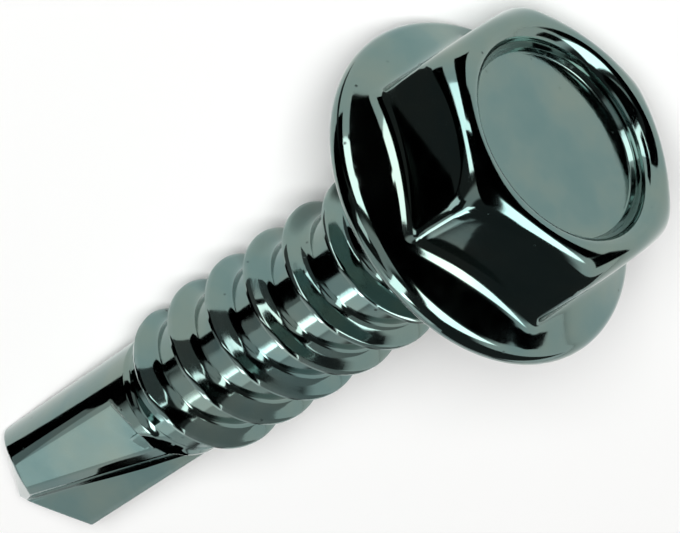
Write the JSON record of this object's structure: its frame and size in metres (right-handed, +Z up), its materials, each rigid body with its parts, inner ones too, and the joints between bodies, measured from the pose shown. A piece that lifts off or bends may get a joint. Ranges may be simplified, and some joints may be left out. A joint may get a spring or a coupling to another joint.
{
  "type": "self drilling screw",
  "caption": "Hex washer head self-drilling screw with a dished head, a rolled thread and a pinched, fluted drill point, bright zinc plated.",
  "frame": {"origin": "on the ground, under the middle of the lying screw's bounding box", "axes": "+Z up; +X along the screw towards its head, which the flange lifts so that the axis climbs 11 degrees; +Y across it"},
  "size_m": [0.0282, 0.0108, 0.0107],
  "materials": {
    "zinc_plated_steel": "bright zinc electroplate with clear blue passivate on case-hardened steel"
  },
  "bodies": {
    "root": {"self_drilling_screw": "zinc_plated_steel"}
  },
  "joints": []
}
